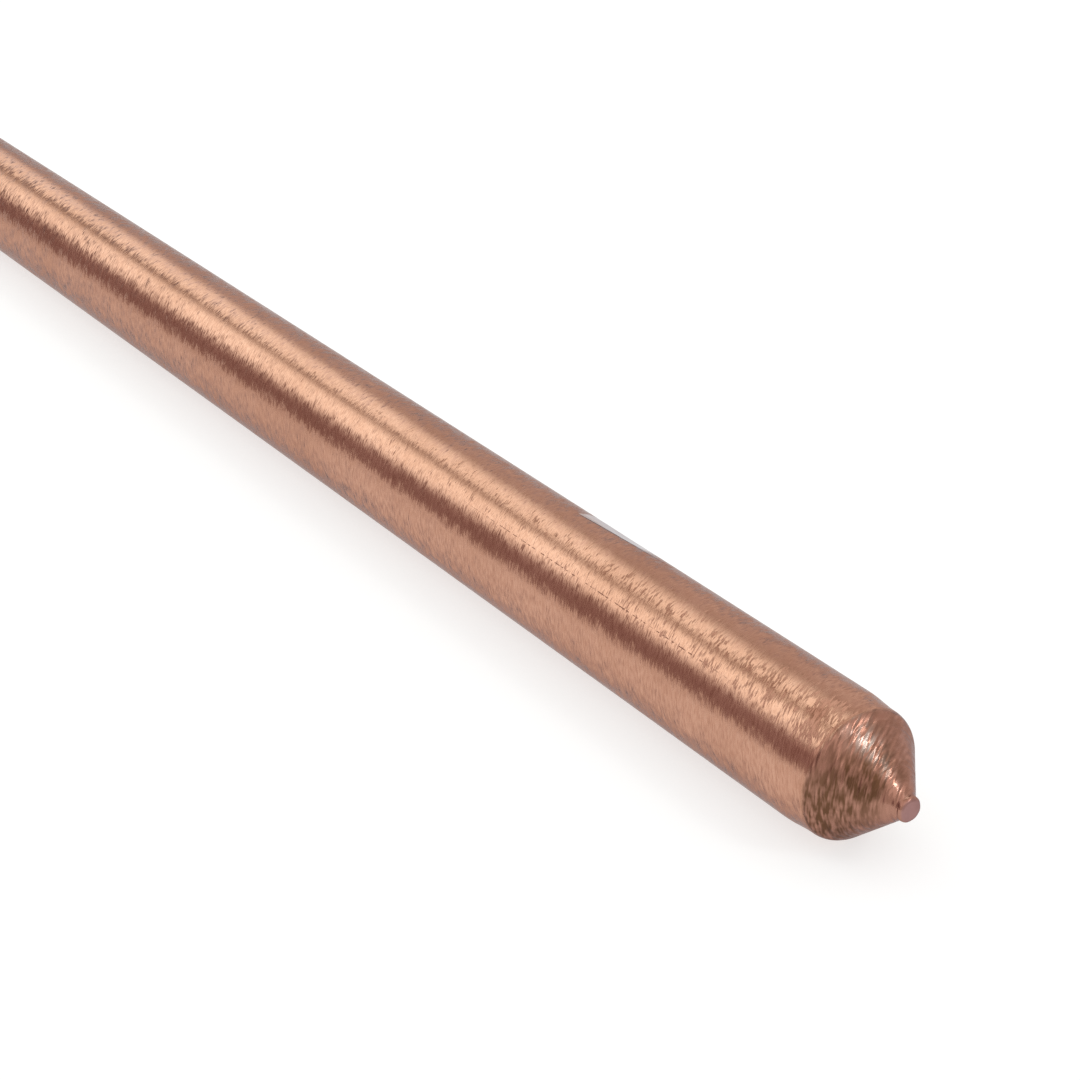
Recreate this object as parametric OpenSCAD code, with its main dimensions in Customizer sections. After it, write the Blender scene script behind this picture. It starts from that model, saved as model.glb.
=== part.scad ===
// Copper-bonded ground rod with a turned point, in millimetres.
// The rod lies along X: the driving face is at the origin and the point is at +X.

/* [Shank] */
// Diameter of the shank
rod_d = 15.875; // [12.5:0.025:25.4]
// Overall length, from the driving face to the end of the nub
rod_l = 2438.4; // [1200:0.1:3050]

/* [Driving end] */
// Chamfer round the driving face
drive_chamfer = 1.2; // [0.5:0.1:2.5]

/* [Swaged neck] */
// Length of the neck that eases the shank down to the shoulder
neck_l = 4.5; // [2:0.1:10]
// How much thinner the rod is at the shoulder, on the diameter
neck_drop = 0.6; // [0.2:0.05:1.5]

/* [Point] */
// Angle between the cone's side and the rod's axis
point_angle = 41; // [30:1:55]
// Radius of the round at the shoulder
shoulder_round = 1.7; // [0.5:0.1:2.5]
// Diameter of the nub left by parting off
nub_d = 3; // [2:0.1:5]
// Length of the nub beyond the cone
nub_l = 1.05; // [0.8:0.05:2.5]
// Radius of the fillet at the nub's root, where the nub is long enough for it
nub_fillet = 1.2; // [0.3:0.1:1.5]
// Radius of the round on the nub's end
nub_round = 0.55; // [0.2:0.05:0.7]

/* [Tool marks] */
// Spacing of the tool marks along the cone's side
mark_pitch = 0.56; // [0.4:0.02:1.1]
// Nose radius of the tool that cut the marks
tool_nose = 0.8; // [0.6:0.05:3]

/* [Scraped flat] */
// Length of the flat along the shank
scrape_l = 10.6; // [4:0.1:20]
// Width of the flat
scrape_w = 3; // [1:0.1:5]
// Distance from the shoulder back to the middle of the flat
scrape_back = 47.8; // [20:0.1:200]
// Turn of the flat about the rod, from straight up towards +Y
scrape_turn = 32; // [-180:1:180]

/* [Hidden] */
$fn = 96;

// Radii of the shank, the neck and the nub
rod_r = rod_d / 2;
neck_r = (rod_d - neck_drop) / 2;
nub_r = nub_d / 2;

// The cone's side runs from the sharp shoulder to the sharp root of the nub
cone_side = (neck_r - nub_r) / sin(point_angle);
nub_root_x = rod_l - nub_l;
shoulder_x = nub_root_x - cone_side * cos(point_angle);

// How far each round reaches from its sharp corner
shoulder_reach = shoulder_round * tan(point_angle / 2);
nub_reach = min(nub_fillet * tan(point_angle / 2), nub_l - nub_round);
nub_fillet_r = nub_reach / tan(point_angle / 2);

// Tool marks fill the cone's side between the two rounds
marks = floor((cone_side - shoulder_reach - nub_reach) / mark_pitch);
mark_steps = 4;
mark_depth = tool_nose - sqrt(tool_nose ^ 2 - (mark_pitch / 2) ^ 2);

// The flat is cut as a wheel cuts it, across the shank
scrape_depth = rod_r - sqrt(rod_r ^ 2 - (scrape_w / 2) ^ 2);
scrape_wheel_r = ((scrape_l / 2) ^ 2 + scrape_depth ^ 2) / (2 * scrape_depth);

neck_steps = 8;
round_steps = 6;

// Every profile point is [radius, distance from the driving face]

// Square face with its edge chamfered
function driving_end() = [
    [0, 0],
    [rod_r - drive_chamfer, 0],
    [rod_r, drive_chamfer]
];

// Half a cosine wave from the shank's radius to the neck's
function neck() = [
    for (i = [0 : neck_steps])
        let (t = i / neck_steps)
        [
            rod_r - (rod_r - neck_r) * (1 - cos(180 * t)) / 2,
            shoulder_x - shoulder_reach - neck_l * (1 - t)
        ]
];

// Arc that is tangent to the neck and to the cone
function shoulder() = [
    for (i = [1 : round_steps])
        let (a = point_angle * i / round_steps)
        [
            neck_r - shoulder_round * (1 - cos(a)),
            shoulder_x - shoulder_reach + shoulder_round * sin(a)
        ]
];

// Point on the cone, at a distance down its side and a depth under it
function on_cone(down, depth) = [
    neck_r - down * sin(point_angle) - depth * cos(point_angle),
    shoulder_x + down * cos(point_angle) - depth * sin(point_angle)
];

// Depth of one tool mark, which has the arc of the tool's nose
function mark_at(offset) = sqrt(tool_nose ^ 2 - offset ^ 2) - tool_nose + mark_depth;

// Row of tool marks, with a ridge between each two
function tool_marks() = [
    for (i = [0 : marks - 1], j = [1 : mark_steps])
        let (t = j / mark_steps)
        on_cone(shoulder_reach + (i + t) * mark_pitch, mark_at((t - 0.5) * mark_pitch))
];

// Hollow arc from the cone to the nub
function nub_root() = [
    for (i = [0 : round_steps])
        let (a = point_angle * (1 - i / round_steps))
        [
            nub_r + nub_fillet_r * (1 - cos(a)),
            nub_root_x + nub_reach - nub_fillet_r * sin(a)
        ]
];

// Blunt end with a rounded edge
function nub_end() = [
    for (i = [0 : round_steps])
        let (a = 90 * i / round_steps)
        [
            nub_r - nub_round * (1 - cos(a)),
            rod_l - nub_round * (1 - sin(a))
        ]
];

module turned_bar() {
    rotate([0, 90, 0])
        rotate_extrude()
            polygon(concat(
                driving_end(), neck(), shoulder(), tool_marks(), nub_root(), nub_end(), [[0, rod_l]]
            ));
}

// Large wheel that touches the shank only as deep as the flat
module scrape_wheel() {
    translate([shoulder_x - scrape_back, 0, 0])
        rotate([-scrape_turn, 0, 0])
            translate([0, 0, rod_r - scrape_depth + scrape_wheel_r])
                rotate([90, 0, 0])
                    cylinder(r = scrape_wheel_r, h = rod_d, center = true);
}

module ground_rod() {
    color("#b4785f")
        difference() {
            turned_bar();
            scrape_wheel();
        }
}

ground_rod();
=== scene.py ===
import math

import bpy
import numpy as np
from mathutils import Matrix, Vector


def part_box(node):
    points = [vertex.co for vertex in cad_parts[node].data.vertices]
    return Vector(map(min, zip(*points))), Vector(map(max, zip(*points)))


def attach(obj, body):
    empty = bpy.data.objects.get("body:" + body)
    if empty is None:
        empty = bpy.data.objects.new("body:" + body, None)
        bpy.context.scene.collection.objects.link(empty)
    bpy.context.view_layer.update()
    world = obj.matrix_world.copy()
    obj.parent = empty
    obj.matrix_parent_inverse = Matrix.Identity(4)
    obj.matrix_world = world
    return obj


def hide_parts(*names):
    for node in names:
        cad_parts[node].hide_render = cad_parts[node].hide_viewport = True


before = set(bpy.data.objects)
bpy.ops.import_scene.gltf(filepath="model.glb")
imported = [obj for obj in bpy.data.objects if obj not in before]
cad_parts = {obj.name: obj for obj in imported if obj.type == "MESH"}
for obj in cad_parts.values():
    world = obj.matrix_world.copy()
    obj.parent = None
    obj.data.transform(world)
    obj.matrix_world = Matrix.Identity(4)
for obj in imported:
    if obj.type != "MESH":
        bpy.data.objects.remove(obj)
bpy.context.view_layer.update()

mm = 0.001  # every length below is in millimetres


def linearColor(hexColor):
    # sRGB hex to the linear values that a shader wants
    code = hexColor.lstrip("#")
    parts = np.array([int(code[i:i + 2], 16) / 255 for i in (0, 2, 4)])
    linear = np.where(parts <= 0.04045, parts / 12.92, ((parts + 0.055) / 1.055) ** 2.4)
    return (*linear.tolist(), 1.0)


def addNode(tree, kind, inputs, out=0, **settings):
    # One node with its settings. Inputs are values or links, in the order of the node's sockets or in a
    # dictionary by socket. A Map Range takes its value, from low, from high, to low and to high
    node = tree.nodes.new(kind)
    for name, value in settings.items():
        setattr(node, name, value)
    sockets = inputs if isinstance(inputs, dict) else dict(enumerate(inputs))
    for socket, value in sockets.items():
        if isinstance(value, bpy.types.NodeSocket):
            tree.links.new(value, node.inputs[socket])
        else:
            node.inputs[socket].default_value = value
    return node.outputs[out] if node.outputs else node


# The bar: one straight bar with a turned point, lying along X

rod = {
    "length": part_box("ground_rod")[1][0] / mm,      # to the end of the nub
    "diameter": 15.875,             # shank
    "driveChamfer": 1.2,
    "neckLength": 4.5,              # swaged stretch before the shoulder
    "neckDrop": 0.6,                # on the diameter
    "pointAngle": 41.0,             # cone's side to the axis, degrees
    "shoulderRound": 1.7,
    "nubDiameter": 3.0,
    "nubLength": 1.05,
    "nubFillet": 1.2,
    "nubRound": 0.55,
    "nubUneven": 0.04,              # share of its radius by which the nub is out of round
    "markSpacing": 0.56,            # mean spacing of the tool marks along the cone's side
    "markWidths": (0.55, 1.45),     # as shares of that spacing, before they are fitted to the side
    "markDepths": (0.2, 0.6),       # as shares of what the tool's nose would cut
    "markWander": 0.07,             # how far a mark strays along the side
    "markWaves": 9,                 # waves round the bar in its straying
    "markFade": 0.4,                # the marks fade away over this length at both ends of the side
    "toolNose": 0.8,                # radius
    "scrapeLength": 10.6,
    "scrapeWidth": 3.0,
    "scrapeBack": 47.8,             # from the shoulder
    "scrapeTurn": 32.0,             # from straight up towards +Y, degrees
    # rings of points along each stretch; the shank's four run up to, near, across and past the scrape
    "shankRings": (59, 39, 55, 39),
    "scrapeNear": 200.0,            # the second starts this far before the scrape's middle
    "scrapeMargin": 0.6,            # and the third runs this far past the scrape at both ends
    "rings": {"face": 8, "chamfer": 4, "neck": 16, "shoulder": 10, "toolMark": 9, "nubRoot": 11,
              "nubRound": 10, "nubFace": 3},
    "around": 240,                  # points in a ring
    "sharpAngle": 35.0,             # edges that turn further than this stay sharp, degrees
    "seed": 7,

    # Stain and bare steel on the cone lie in hills. Each is its height, its turn from straight up towards -Y
    # and the reach of that in degrees, then its share of the way down the cone's side and the reach of that.
    # A hill that lies across straight up is given twice, a whole turn apart
    "stainLeast": 0.26,             # everywhere on the cone
    "stainHills": (
        (0.18, 80, 60, 0.5, math.inf),
        (0.66, 52, 34, 0.58, 0.28),
        (0.62, 115, 42, 0.20, 0.40),
        (0.36, -8, 16, 0.55, 0.40),
        (0.36, 352, 16, 0.55, 0.40),
    ),
    "stainStart": (-0.5, 0.1),      # down the side: where it is none and where it is whole
    "stainTip": (0.93, 0.81),       # the same near the nub, as shares of the side
    "stainTipLeast": 0.35,          # and what is left of it there
    "steelHills": (
        (1.0, 13, 13, 0.42, 0.34),
        (1.0, 373, 13, 0.42, 0.34),
    ),
    "steelStart": -0.02,            # as a share of the side
    "coneStart": (-0.2, 0.2),       # down the side: where the cone's finish starts and where it is whole
    "nubEndStart": (-0.3, -0.1),    # the same for the nub's dull end, from the bar's end
}


def rodSizes(r):
    # sizes that follow from the dictionary, as in the solid
    angle = math.radians(r["pointAngle"])
    s = {"radius": r["diameter"] / 2, "angle": angle}
    s["neck"] = (r["diameter"] - r["neckDrop"]) / 2
    s["nub"] = r["nubDiameter"] / 2
    s["side"] = (s["neck"] - s["nub"]) / math.sin(angle)
    s["nubRootX"] = r["length"] - r["nubLength"]
    s["shoulderX"] = s["nubRootX"] - s["side"] * math.cos(angle)
    s["shoulderReach"] = r["shoulderRound"] * math.tan(angle / 2)
    s["nubReach"] = min(r["nubFillet"] * math.tan(angle / 2), r["nubLength"] - r["nubRound"])
    s["nubFillet"] = s["nubReach"] / math.tan(angle / 2)
    s["marks"] = int((s["side"] - s["shoulderReach"] - s["nubReach"]) / r["markSpacing"])
    s["scrapeDepth"] = s["radius"] - math.sqrt(s["radius"] ** 2 - (r["scrapeWidth"] / 2) ** 2)
    s["scrapeWheel"] = ((r["scrapeLength"] / 2) ** 2 + s["scrapeDepth"] ** 2) / (2 * s["scrapeDepth"])
    s["scrapeX"] = s["shoulderX"] - r["scrapeBack"]
    return s


size = rodSizes(rod)


def evenSteps(count):
    # even steps from 0 to 1, without the 0
    return np.linspace(0, 1, count + 1)[1:]


def ramp(value, low, high):
    # straight rise from 0 at low to 1 at high
    return np.clip((value - low) / (high - low), 0, 1)


def hillSum(hills, turn, share):
    # sum of bell curves, each about a third of its height at either reach
    total = 0.0
    for height, turnAt, turnReach, shareAt, shareReach in hills:
        distance = ((turn - turnAt) / turnReach) ** 2 + ((share - shareAt) / shareReach) ** 2
        total = total + height * np.exp(-distance)
    return total


def wavesRound(turn, rng, highest):
    # sum of sines round the bar, which closes on itself, scaled to lie between -1 and 1
    total = np.zeros_like(turn)
    for n in range(1, highest + 1):
        total += rng.normal() / math.sqrt(n) * np.sin(n * turn + rng.uniform(0, 2 * math.pi))
    return total / np.abs(total).max()


def rodProfile(r, s):
    # X and radius of each ring: straight lines for the face, the chamfer and the shank, half a cosine for the
    # neck, an arc for the shoulder, a straight line for the cone, then arcs for the nub's root and its end
    rings = r["rings"]
    edge = s["radius"] - r["driveChamfer"]
    face = evenSteps(rings["face"])
    chamfer = evenSteps(rings["chamfer"]) * r["driveChamfer"]
    parts = [(face * 0, face * edge), (chamfer, edge + chamfer)]

    neckEnd = s["shoulderX"] - s["shoulderReach"]
    neckStart = neckEnd - r["neckLength"]
    near, half = s["scrapeX"] - r["scrapeNear"], r["scrapeLength"] / 2 + r["scrapeMargin"]
    stops = (r["driveChamfer"], near, s["scrapeX"] - half, s["scrapeX"] + half, neckStart)
    for start, end, count in zip(stops, stops[1:], r["shankRings"]):
        x = start + (end - start) * evenSteps(count)
        parts.append((x, x * 0 + s["radius"]))

    neck = evenSteps(rings["neck"])
    drop = (s["radius"] - s["neck"]) * (1 - np.cos(np.pi * neck)) / 2
    parts.append((neckStart + neck * r["neckLength"], s["radius"] - drop))

    bend, arc = evenSteps(rings["shoulder"]) * s["angle"], r["shoulderRound"]
    parts.append((neckEnd + arc * np.sin(bend), s["neck"] - arc * (1 - np.cos(bend))))

    down = s["shoulderReach"] + r["markSpacing"] * s["marks"] * evenSteps(s["marks"] * rings["toolMark"])
    parts.append((s["shoulderX"] + down * math.cos(s["angle"]), s["neck"] - down * math.sin(s["angle"])))

    bend, arc = np.linspace(s["angle"], 0, rings["nubRoot"]), s["nubFillet"]
    root = s["nubRootX"] + s["nubReach"]
    parts.append((root - arc * np.sin(bend), s["nub"] + arc * (1 - np.cos(bend))))

    bend, arc = np.linspace(0, np.pi / 2, rings["nubRound"]), r["nubRound"]
    parts.append((r["length"] - arc * (1 - np.sin(bend)), s["nub"] - arc * (1 - np.cos(bend))))
    nubFace = 1 - evenSteps(rings["nubFace"] + 1)[:-1]
    parts.append((nubFace * 0 + r["length"], nubFace * (s["nub"] - arc)))
    return np.hstack(parts)


def toolMarks(r, s, down, widths, depths, wander):
    # Depth of the marks at each way down the cone's side. A mark is the arc of the tool's nose between the
    # mark's two edges, times its own share of the depth, and all fade away at both ends of the side
    start, end = s["shoulderReach"], s["side"] - s["nubReach"]
    edges = np.concatenate([[0], np.cumsum(widths)]) / widths.sum() * (end - start)
    along = np.clip(down - start + r["markWander"] * wander, 0, edges[-1])
    number = np.clip(np.searchsorted(edges, along, side="right") - 1, 0, s["marks"] - 1)
    width = edges[number + 1] - edges[number]
    offset = along - edges[number] - width / 2
    arc = np.sqrt(r["toolNose"] ** 2 - offset ** 2) - np.sqrt(r["toolNose"] ** 2 - (width / 2) ** 2)
    fade = ramp(down, start, start + r["markFade"]) * ramp(down, end, end - r["markFade"])
    return arc * depths[number] * fade


def scrapeOff(r, s, x, y, z):
    # the flat is a wheel's arc along the shank and straight across it, and what stands out past it is cut off
    lean = math.radians(r["scrapeTurn"])
    outward = y * math.sin(lean) + z * math.cos(lean)
    reach = np.clip(s["scrapeWheel"] ** 2 - (x - s["scrapeX"]) ** 2, 0, None)
    level = s["radius"] - s["scrapeDepth"] + s["scrapeWheel"] - np.sqrt(reach)
    cut = np.clip(outward - level, 0, None)
    return y - cut * math.sin(lean), z - cut * math.cos(lean)


def ringMesh(name, x, y, z, startPole, endPole):
    # rings of points joined by four-sided faces, with a fan to a pole at each end, all facing outwards
    rings, around = x.shape
    places = np.concatenate([np.stack([x, y, z], -1).reshape(-1, 3), [startPole, endPole]])
    ring = np.arange(rings - 1)[:, None] * around
    here = np.arange(around)[None]
    beside = (here + 1) % around
    quads = np.stack([ring + here, ring + beside, ring + around + beside, ring + around + here], -1)
    here, beside, last = here[0], beside[0], (rings - 1) * around
    startFan = np.stack([np.full(around, rings * around), beside, here], 1)
    endFan = np.stack([np.full(around, rings * around + 1), last + here, last + beside], 1)

    mesh = bpy.data.meshes.new(name)
    faces = quads.reshape(-1, 4).tolist() + startFan.tolist() + endFan.tolist()
    mesh.from_pydata((places * mm).tolist(), [], faces)
    mesh.polygons.foreach_set("use_smooth", np.ones(len(mesh.polygons), bool))
    return mesh


def addLayers(mesh, layers):
    # what the material reads at each point; a pole gets the mean of the ring beside it
    for name, values in layers.items():
        atPoles = [values[0].mean(), values[-1].mean()]
        layer = mesh.attributes.new(name, "FLOAT", "POINT")
        layer.data.foreach_set("value", np.append(values.reshape(-1), atPoles).astype(np.float32))
    mesh.update()


def buildRod(r, s):
    # The profile is carried round the axis, the tool marks are cut square to the cone's side, the nub is made
    # a little out of round, and the scrape is cut last
    turn = np.arange(r["around"]) * 2 * np.pi / r["around"]  # from straight up towards -Y
    rng = np.random.default_rng(r["seed"])
    widths = rng.uniform(*r["markWidths"], s["marks"])
    markWander = wavesRound(turn, rng, r["markWaves"])
    nubWander = wavesRound(turn, rng, r["markWaves"])
    depths = rng.uniform(*r["markDepths"], s["marks"])

    x, radius = (np.repeat(line[:, None], r["around"], 1) for line in rodProfile(r, s))
    down = (x - s["shoulderX"]) / math.cos(s["angle"])
    groove = toolMarks(r, s, down, widths, depths, markWander)
    x = x - groove * math.sin(s["angle"])
    radius = radius - groove * math.cos(s["angle"])
    onNub = ramp(x, s["nubRootX"], r["length"])
    radius = radius * (1 - r["nubUneven"] * onNub * (1 + nubWander))
    y, z = scrapeOff(r, s, x, -radius * np.sin(turn), radius * np.cos(turn))

    mesh = ringMesh("turnedBar", x, y, z, (0, 0, 0), (r["length"], 0, 0))
    mesh.set_sharp_from_angle(angle=math.radians(r["sharpAngle"]))

    share, degrees = down / s["side"], np.degrees(turn)
    stain = np.clip(r["stainLeast"] + hillSum(r["stainHills"], degrees, share), 0, 1)
    towardsTip = np.maximum(ramp(share, *r["stainTip"]), r["stainTipLeast"])
    steel = hillSum(r["steelHills"], degrees, share)
    addLayers(mesh, {
        "groove": groove / groove.max(),
        "cone": ramp(down, *r["coneStart"]),
        "stain": stain * ramp(down, *r["stainStart"]) * towardsTip,
        "steel": steel * (share > r["steelStart"]),
        "nubEnd": ramp(x - r["length"], *r["nubEndStart"]),
    })
    piece = bpy.data.objects.new("turned_bar", mesh)
    bpy.context.scene.collection.objects.link(piece)
    return piece


bar = buildRod(rod, size)
bar.data.calc_loop_triangles()
print("bar: %d triangles" % len(bar.data.loop_triangles))


# Finish: bonded copper, an even skin on a steel bar, belt-ground across its length. To the eye it is a warm
# pink metal whose fine cross marks break the highlights into short dashes. The turned cone has brown stain
# in its tool marks and shows a little bare steel

copper = {
    "body": "#c2917a",
    "worn": "#cb9c85",            # crests of the marks
    "deep": "#b3836c",            # bottoms of the marks
    "edgeTint": "#c6c4c8",        # what the metal keeps at a grazing angle
    "coneBody": "#b08170",
    "stain": "#6c4d39",
    "nubEnd": "#a07a76",
    "steel": "#e4ddd6",
    "scrape": "#f4e6df",
    # a darker colour for two thin lines: painted shade along the scratch, and a darker line along the
    # scrape's edge
    "darkLine": "#59423a",

    # Patterns, each as its spacing along the bar, its length round it and its detail. Real grinding marks are
    # finer than a tenth of a millimetre, and these are as coarse as they need to be to show
    "coarseMarks": (0.29, 1.0, 1.0),
    "fineMarks": (0.17, 0.9, 1.0),
    "slowWaves": (1.2, 1.4, 0.0),
    "coneMarks": (0.42, 2.6, 0.0),        # longer and deeper, on the cone alone
    "coneRings": (0.13, 5.0, 1.0),        # fine rings from the turning
    "coneStreaks": (0.30, 1.5, 1.0),      # stain and bare steel on the cone lie in short streaks
    "stainPatches": (1.3, 1.3, 3.0),
    "clouds": (14.0, 14.0, 2.0),
    "wavering": (2.0, 2.0, 1.0),
    "scratchGaps": (0.5, 8.0, 1.0),
    "grain": 0.45,                # strength of each finer layer of detail in them all

    # slope that the belt's marks give the surface along the bar, and relief of all the marks
    "slopes": {"coarseMarks": 0.62, "fineMarks": 0.40, "slowWaves": 0.30},
    "reliefs": {"coarseMarks": 0.020, "fineMarks": 0.007},
    "coneReliefs": {"coneMarks": 0.22, "coneRings": 0.004},
    "coneShare": 0.25,            # how much of the belt's marks is left on the cone
    "scrapeShare": 0.1,           # and on the scrape
    "slant": 0.32,                # tangent of the angle between the belt's marks and true rings
    "slantTurn": 42.0,            # where round the bar it is greatest, degrees from straight up towards -Y
    "stray": 0.12,                # how far a mark wavers sideways
    "coneSlant": 0.5,             # tangent of the angle between the cone's marks and true rings, along +Y

    # How a pattern's value turns into an amount: from low and high, then to low and high
    "crests": (0.35, 0.65, 0.0, 1.0),
    "bottoms": (0.5, 0.3, 0.0, 0.8),
    "dullClouds": (0.4, 0.7, 0.0, 0.5),
    "bareStreaks": (0.42, 0.62, 0.0, 1.0),
    "film": (0.66, 1.06, 0.20, 1.25),     # of stain
    "filmPatches": 0.7,           # it follows the streaks, plus this much of the patches
    "filmGrooves": 0.12,          # and this much of the tool marks' depth
    "roughness": (0.3, 0.7, 0.20, 0.28),  # from the fine marks

    # what is added to the roughness in places
    "stainRoughness": 0.20,
    "nubRoughness": 0.15,
    "scrapeRoughness": -0.14,

    # one long scratch that the drawing die left: a shallow groove, with painted shade along it
    "scratchTurn": 42.7,          # degrees from straight up towards -Y
    "scratchStart": (-80.0, -50.0),       # from the shoulder: where it is none and where it is whole
    "scratchEnd": (-12.0, -22.0),
    "scratchReach": 0.06,         # from its middle to either side
    "scratchBroken": (0.46, 0.56),        # value of its gaps' pattern: where it is none and where it is whole
    "scratchDepth": 0.016,
    "scratchShade": 0.4,

    # The scrape's bright patch, in half sizes of its flat: each pair is where it is none and where it is
    # whole. Its edge on the -Y side is a straight line given by its height and slope
    "scrapeStart": (-1.2, -1.12),
    "scrapeEnd": (1.3, 0.8),
    "scrapeFar": (-1.4, -1.2),
    "scrapeEdge": (1.15, -0.34),
    "scrapeInside": (0.0, 0.12),  # from that edge
    # a darker line painted along the flat's -Y edge
    "darkLineStart": (-1.2, -0.8),    # dull line along the edge
    "darkLineEnd": (2.0, 1.3),
    "darkLineWidth": (0.10, 0.05),    # from that edge
}


def strokePattern(tree, place, pattern, grain):
    # short strokes round the bar: noise in which x counts by their spacing, and y and z by their length
    spacing, length, detail = pattern
    scale = (1 / (spacing * mm), 1 / (length * mm), 1 / (length * mm))
    stretched = addNode(tree, "ShaderNodeVectorMath", (place, scale), operation="MULTIPLY")
    inputs = {"Vector": stretched, "Scale": 1.0, "Detail": detail, "Roughness": grain}
    return addNode(tree, "ShaderNodeTexNoise", inputs, "Fac")


def product(tree, *factors):
    # all factors multiplied, so a product of masks is 1 only where each of them is
    total = factors[0]
    for factor in factors[1:]:
        total = addNode(tree, "ShaderNodeMath", (total, factor), operation="MULTIPLY")
    return total


def weightedSum(tree, start, *terms):
    # start plus each amount times its weight
    total = start
    for amount, weight in terms:
        total = addNode(tree, "ShaderNodeMath", (amount, weight, total), operation="MULTIPLY_ADD")
    return total


def sideMask(tree, place, outward):
    # 1 on the half of the bar that faces outward
    height = addNode(tree, "ShaderNodeVectorMath", (place, outward), "Value", operation="DOT_PRODUCT")
    return addNode(tree, "ShaderNodeMath", (height, 0.0), operation="GREATER_THAN")


def scratchMask(tree, c, s, place, x):
    # 1 in a thin broken line along the bar, and 0 elsewhere
    turn = math.radians(c["scratchTurn"])
    sideways = (0.0, -math.cos(turn), -math.sin(turn))
    offset = addNode(tree, "ShaderNodeVectorMath", (place, sideways), "Value", operation="DOT_PRODUCT")
    away = addNode(tree, "ShaderNodeMath", (offset,), operation="ABSOLUTE")
    gaps = strokePattern(tree, place, c["scratchGaps"], c["grain"])
    start, end = ([(s["shoulderX"] + v) * mm for v in c[name]] for name in ("scratchStart", "scratchEnd"))
    return product(
        tree,
        addNode(tree, "ShaderNodeMapRange", (away, c["scratchReach"] * mm, 0.0)),
        sideMask(tree, place, (0.0, -math.sin(turn), math.cos(turn))),
        addNode(tree, "ShaderNodeMapRange", (x, *start)),
        addNode(tree, "ShaderNodeMapRange", (x, *end)),
        addNode(tree, "ShaderNodeMapRange", (gaps, *c["scratchBroken"])),
    )


def scrapeMasks(tree, c, r, s, place, x):
    # amount of bright scraped metal, and of the darker line painted along its edge
    lean = math.radians(r["scrapeTurn"])
    halfLength, halfWidth = r["scrapeLength"] / 2 * mm, r["scrapeWidth"] / 2 * mm
    upward = (0.0, -math.cos(lean) / halfWidth, math.sin(lean) / halfWidth)
    up = addNode(tree, "ShaderNodeVectorMath", (place, upward), "Value", operation="DOT_PRODUCT")
    fromMiddle = addNode(tree, "ShaderNodeMath", (x, s["scrapeX"] * mm), operation="SUBTRACT")
    along = addNode(tree, "ShaderNodeMath", (fromMiddle, halfLength), operation="DIVIDE")
    facing = sideMask(tree, place, (0.0, math.sin(lean), math.cos(lean)))

    height, slope = c["scrapeEdge"]
    edge = addNode(tree, "ShaderNodeMath", (along, slope, height), operation="MULTIPLY_ADD")
    inside = addNode(tree, "ShaderNodeMath", (edge, up), operation="SUBTRACT")
    away = addNode(tree, "ShaderNodeMath", (inside,), operation="ABSOLUTE")
    bright = product(
        tree, facing,
        addNode(tree, "ShaderNodeMapRange", (inside, *c["scrapeInside"])),
        addNode(tree, "ShaderNodeMapRange", (along, *c["scrapeStart"])),
        addNode(tree, "ShaderNodeMapRange", (along, *c["scrapeEnd"])),
        addNode(tree, "ShaderNodeMapRange", (up, *c["scrapeFar"])),
    )
    darkLine = product(
        tree, facing,
        addNode(tree, "ShaderNodeMapRange", (away, *c["darkLineWidth"])),
        addNode(tree, "ShaderNodeMapRange", (along, *c["darkLineStart"])),
        addNode(tree, "ShaderNodeMapRange", (along, *c["darkLineEnd"])),
    )
    return bright, darkLine


def slantedPlace(tree, place, y, z, across, *stray):
    # Distance across planes that lie aslant, plus how far they stray, takes the place of x, so that a pattern
    # follows those planes
    distance = addNode(tree, "ShaderNodeVectorMath", (place, across), "Value", operation="DOT_PRODUCT")
    distance = weightedSum(tree, distance, *stray)
    return addNode(tree, "ShaderNodeCombineXYZ", (distance, y, z))


def tiltedNormal(tree, slope):
    # the surface's normal, leaned along the bar by the slope
    lengthwise = addNode(tree, "ShaderNodeVectorTransform", ((1.0, 0.0, 0.0),), vector_type="VECTOR",
                         convert_from="OBJECT", convert_to="WORLD")
    lean = addNode(tree, "ShaderNodeVectorMath", {0: lengthwise, "Scale": slope}, operation="SCALE")
    normal = addNode(tree, "ShaderNodeNewGeometry", {}, "Normal")
    leaned = addNode(tree, "ShaderNodeVectorMath", (normal, lean), operation="ADD")
    return addNode(tree, "ShaderNodeVectorMath", (leaned,), operation="NORMALIZE")


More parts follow.
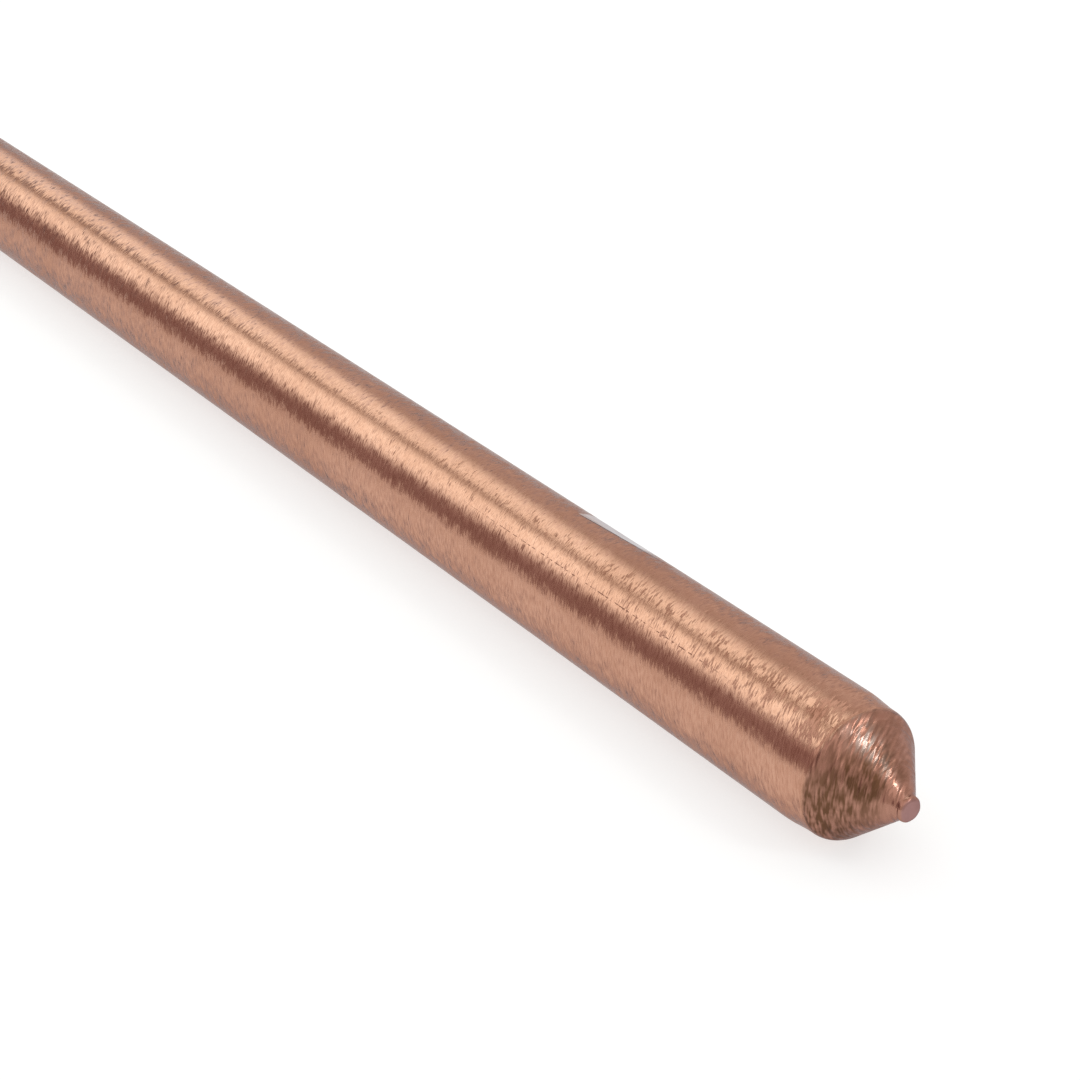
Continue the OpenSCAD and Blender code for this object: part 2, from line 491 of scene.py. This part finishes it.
def copperMaterial(c, r, s):
    # masks and patterns first, then what they do to the colour, the roughness and the relief
    material = bpy.data.materials.new("bondedCopperBeltGround")
    material.use_nodes = True
    tree = material.node_tree
    tree.nodes.clear()

    place = addNode(tree, "ShaderNodeTexCoord", {}, "Object")
    x = addNode(tree, "ShaderNodeSeparateXYZ", (place,), "X")
    y, z = x.node.outputs["Y"], x.node.outputs["Z"]
    groove, cone, stain, steel, nubEnd = (
        addNode(tree, "ShaderNodeAttribute", {}, "Fac", attribute_name=name)
        for name in ("groove", "cone", "stain", "steel", "nubEnd")
    )
    scraped, darkLine = scrapeMasks(tree, c, r, s, place, x)
    scratch = scratchMask(tree, c, s, place, x)

    # the belt's marks lie in slanted planes and waver, and the cone's marks have a slant of their own
    turn = math.radians(c["slantTurn"])
    acrossBelt = (1.0, c["slant"] * math.cos(turn), c["slant"] * math.sin(turn))
    waver = strokePattern(tree, place, c["wavering"], c["grain"])
    onBelt = slantedPlace(tree, place, y, z, acrossBelt, (waver, c["stray"] * mm))
    onTurning = slantedPlace(tree, place, y, z, (1.0, c["coneSlant"], 0.0))
    pattern = {
        name: strokePattern(tree, where, c[name], c["grain"])
        for where, names in (
            (onBelt, ("coarseMarks", "fineMarks", "slowWaves")),
            (onTurning, ("coneMarks", "coneStreaks")),
            (place, ("coneRings", "stainPatches", "clouds")),
        )
        for name in names
    }

    # shank: crests a little paler than the bottoms, with slow clouds of both
    crest = addNode(tree, "ShaderNodeMapRange", (pattern["coarseMarks"], *c["crests"]))
    bottom = addNode(tree, "ShaderNodeMapRange", (pattern["fineMarks"], *c["bottoms"]))
    dull = addNode(tree, "ShaderNodeMapRange", (pattern["clouds"], *c["dullClouds"]))

    # cone: bare steel in some streaks, and a film of stain in others, thickest in the grooves
    bare = addNode(tree, "ShaderNodeMapRange", (pattern["coneStreaks"], *c["bareStreaks"]))
    thickness = weightedSum(tree, pattern["coneStreaks"], (pattern["stainPatches"], c["filmPatches"]),
                            (groove, c["filmGrooves"]))
    film = product(tree, addNode(tree, "ShaderNodeMapRange", (thickness, *c["film"])), stain)

    # each layer of colour over the one before it; sockets 6 and 7 are the two colours
    # the scratch's share of the darker colour is painted shade along its groove
    layers = ((crest, "worn"), (bottom, "deep"), (dull, "deep"), (cone, "coneBody"),
              (product(tree, bare, steel), "steel"), (film, "stain"), (nubEnd, "nubEnd"),
              (product(tree, scratch, c["scratchShade"]), "darkLine"), (scraped, "scrape"), (darkLine, "darkLine"))
    color = linearColor(c["body"])
    for amount, name in layers:
        inputs = {0: amount, 6: color, 7: linearColor(c[name])}
        color = addNode(tree, "ShaderNodeMix", inputs, 2, data_type="RGBA")

    roughness = weightedSum(
        tree, addNode(tree, "ShaderNodeMapRange", (pattern["fineMarks"], *c["roughness"])),
        (film, c["stainRoughness"]), (nubEnd, c["nubRoughness"]), (scraped, c["scrapeRoughness"]),
    )

    # a belt's marks run round the bar, so they tilt the surface along it and hardly across it
    left = product(
        tree,
        addNode(tree, "ShaderNodeMapRange", (scraped, 0.0, 1.0, 1.0, c["scrapeShare"])),
        addNode(tree, "ShaderNodeMapRange", (cone, 0.0, 1.0, 1.0, c["coneShare"])),
    )
    level = -0.5 * sum(c["slopes"].values())  # a pattern's mean is one half, and the mean slope is none
    slope = weightedSum(tree, level, *((pattern[name], v) for name, v in c["slopes"].items()))
    relief = weightedSum(tree, 0.0, *((pattern[name], v) for name, v in c["reliefs"].items()))
    coneRelief = weightedSum(tree, 0.0, *((pattern[name], v) for name, v in c["coneReliefs"].items()))
    relief = weightedSum(tree, 0.0, (relief, left), (coneRelief, cone), (scratch, -c["scratchDepth"]))
    normal = addNode(tree, "ShaderNodeBump", {
        "Strength": 1.0,
        "Distance": mm,               # so relief is in millimetres
        "Height": relief,
        "Normal": tiltedNormal(tree, product(tree, slope, left)),
    }, "Normal")

    shader = addNode(tree, "ShaderNodeBsdfPrincipled", {
        "Base Color": color,
        "Metallic": 1.0,
        "Roughness": roughness,
        "Specular Tint": linearColor(c["edgeTint"]),
        "Normal": normal,
    }, "BSDF")
    addNode(tree, "ShaderNodeOutputMaterial", {"Surface": shader})
    return material


bar.data.materials.append(copperMaterial(copper, rod, size))
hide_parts("ground_rod")
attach(bar, "root")
print("bar: copper finish on")


# Floor, lights and camera

studio = {
    "floor": "#a9adae",
    "floorGlow": 0.66,            # the floor is a lit table, so the bar's shadow stays weak
    "floorSize": 60000,
    "height": 1200,               # strips and panel above the bar's axis
    # Two soft-edged strips of light: each edge runs from dark to full between two angles from straight up, in
    # steps of one rectangle. An end is measured from the point, and the highlights break up as they near it
    "farStrip": ((-6, 0), (38, 18)),
    "farStripEnd": -830,
    "farStripTurn": -19.5,        # about the vertical, so the highlight slants a little across the bar
    "farStripGlow": 1.85,         # radiance
    "nearStrip": ((8, 20), (58, 43)),     # on the camera's side
    "nearStripEnd": -925,
    "nearStripTurn": -12.0,
    "nearStripGlow": 2.05,
    "stripColor": "#ecfffd",
    "stripMiddle": -1500,         # from the point: where the strips' edges stand at those angles
    "stripLength": 6000,
    "coreLength": 540,            # the brightest part is short, so the highlights dim far from the point
    "stripSteps": 5,              # under 8, because a ray of the render passes 8 lamps at most
    "stripFade": 85,              # each step ends this much further back
    "stepDrop": 2,                # and hangs this much lower, so that no two rectangles meet
    "panelEnds": (-650, 1200),    # dim panel overhead, from the point; a dark gap parts it from the strips
    "panelGlow": 0.5,
    "boxTowards": (0.58, 0.28, 0.76),   # small soft box that makes the glints on the cone
    "boxAway": 1000,
    "boxSize": 190,
    "boxGlow": 8.5,
    "plainLight": "#ffffff",      # colour of the panel, the soft box and the floor's glow
    # surroundings by degrees from straight up, the camera's side positive
    "surround": ((-180, "#dcdcdc"), (-90, "#e8e4e2"), (-60, "#f4f0ee"), (-42, "#e2dcd9"), (-30, "#b9b0ab"),
                 (-8, "#b9aea8"), (0, "#9f887c"), (12, "#9f887c"), (20, "#b9aea8"), (44, "#ae9b9b"),
                 (58, "#a68e90"), (78, "#9a8083"), (90, "#a8928f"), (180, "#dcdcdc")),
    "ahead": "#dad1cc",           # the same past the point, where the sides no longer differ
    "aheadFrom": (0.0, 0.35),     # share of the direction that is along the bar
}

viewPoint = {
    "fromShoulder": (161.2, -149.2, 137.6),
    "turn": 55.88,                # about the vertical, degrees
    "tilt": 63.09,                # up from straight down, degrees
    "lens": 82.3,
    "sensor": 36.0,
    "clip": (10, 100000),
}


def makeFloor(c, bottom):
    # a square, level with the bottom of the bar
    half = c["floorSize"] / 2 * mm
    corners = [(-half, -half, bottom), (half, -half, bottom), (half, half, bottom), (-half, half, bottom)]
    mesh = bpy.data.meshes.new("floor")
    mesh.from_pydata(corners, [], [(0, 1, 2, 3)])
    floor = bpy.data.objects.new("floor", mesh)
    bpy.context.scene.collection.objects.link(floor)
    material = bpy.data.materials.new("litMatteTable")
    material.use_nodes = True
    shader = material.node_tree.nodes["Principled BSDF"]
    shader.inputs["Base Color"].default_value = linearColor(c["floor"])
    shader.inputs["Roughness"].default_value = 1.0
    shader.inputs["Specular IOR Level"].default_value = 0.0
    shader.inputs["Emission Color"].default_value = linearColor(c["plainLight"])
    shader.inputs["Emission Strength"].default_value = c["floorGlow"]
    mesh.materials.append(material)


def makeSoftBox(name, centre, towards, wide, long, glow, color, turn=0.0):
    # rectangle of light with radiance glow, which faces the point it is aimed at; it is long along X before
    # it is turned about the vertical
    lamp = bpy.data.lights.new(name, "AREA")
    lamp.shape = "RECTANGLE"
    lamp.size, lamp.size_y = long * mm, wide * mm
    lamp.energy = glow * math.pi * lamp.size * lamp.size_y
    lamp.color = linearColor(color)[:3]
    box = bpy.data.objects.new(name, lamp)
    box.location = Vector(centre) * mm
    aim = Vector(towards) - Vector(centre)
    box.rotation_euler = aim.to_track_quat("-Z", "Y").to_euler()
    box.rotation_euler.z += math.radians(turn)
    bpy.context.scene.collection.objects.link(box)


def makeStrip(name, side, c, r):
    # rectangles one under the other, each narrower than the last; side is 1 towards +Y and -1 towards -Y
    degrees = c[name + "Turn"]
    turn = math.radians(degrees)
    for step in range(c["stripSteps"]):
        innermost = step == c["stripSteps"] - 1
        long = c["coreLength"] if innermost else c["stripLength"]
        share = (step + 0.5) / c["stripSteps"]
        angles = (math.radians(dark + (full - dark) * share) for dark, full in c[name])
        inner, outer = (side * c["height"] * math.tan(angle) for angle in angles)
        wide = abs(outer - inner) * math.cos(turn)
        end = c[name + "End"] - c["stripFade"] * step
        x = r["length"] + end - long / 2 * math.cos(turn)
        y = (inner + outer) / 2 + (end - c["stripMiddle"]) * math.tan(turn) - long / 2 * math.sin(turn)
        level = c["height"] - c["stepDrop"] * step
        glow = c[name + "Glow"] / c["stripSteps"]
        makeSoftBox(name, (x, y, level), (x, y, 0), wide, long, glow, c["stripColor"], degrees)


def makeLights(c, r):
    makeStrip("farStrip", 1, c, r)
    makeStrip("nearStrip", -1, c, r)

    # the panel is as wide as the strips are from outer edge to outer edge, where they are dark
    far, near = (c["height"] * math.tan(math.radians(c[name][1][0])) for name in ("farStrip", "nearStrip"))
    start, end = c["panelEnds"]
    x, y = r["length"] + (start + end) / 2, (far - near) / 2
    wide, long = far + near, end - start
    makeSoftBox("overPanel", (x, y, c["height"]), (x, y, 0), wide, long, c["panelGlow"], c["plainLight"])

    point = Vector((r["length"], 0, 0))
    centre = point + Vector(c["boxTowards"]).normalized() * c["boxAway"]
    makeSoftBox("pointBox", centre, point, c["boxSize"], c["boxSize"], c["boxGlow"], c["plainLight"])


def makeSurround(c):
    # the colour depends on the angle round the bar's axis, and turns to one colour past the point
    world = bpy.data.worlds.new("studio")
    world.use_nodes = True
    tree = world.node_tree
    direction = addNode(tree, "ShaderNodeTexCoord", {}, "Generated")
    axes = addNode(tree, "ShaderNodeSeparateXYZ", (direction,)).node.outputs
    side = addNode(tree, "ShaderNodeMath", (axes["Y"], -1.0), operation="MULTIPLY")
    turn = addNode(tree, "ShaderNodeMath", (side, axes["Z"]), operation="ARCTAN2")
    share = addNode(tree, "ShaderNodeMapRange", (turn, -math.pi, math.pi))
    colors = addNode(tree, "ShaderNodeValToRGB", (share,), "Color")
    stops = colors.node.color_ramp.elements
    while len(stops) < len(c["surround"]):
        stops.new(0.5)
    for stop, (degrees, color) in zip(stops, c["surround"]):
        stop.position = degrees / 360 + 0.5
        stop.color = linearColor(color)
    ahead = addNode(tree, "ShaderNodeMapRange", (axes["X"], *c["aheadFrom"]))
    inputs = {0: ahead, 6: colors, 7: linearColor(c["ahead"])}
    both = addNode(tree, "ShaderNodeMix", inputs, 2, data_type="RGBA")
    tree.links.new(both, tree.nodes["Background"].inputs["Color"])
    bpy.context.scene.world = world


def makeCamera(c, s):
    data = bpy.data.cameras.new("camera")
    data.lens = c["lens"]
    data.sensor_width = c["sensor"]
    data.clip_start, data.clip_end = (v * mm for v in c["clip"])
    camera = bpy.data.objects.new("camera", data)
    camera.location = (Vector(c["fromShoulder"]) + Vector((s["shoulderX"], 0, 0))) * mm
    camera.rotation_euler = (math.radians(c["tilt"]), 0, math.radians(c["turn"]))
    bpy.context.scene.collection.objects.link(camera)
    bpy.context.scene.camera = camera


makeFloor(studio, -size["radius"] * mm)
makeLights(studio, rod)
makeSurround(studio)
makeCamera(viewPoint, size)
bpy.context.scene.view_settings.view_transform = "Standard"
print("studio: floor, lights and camera")
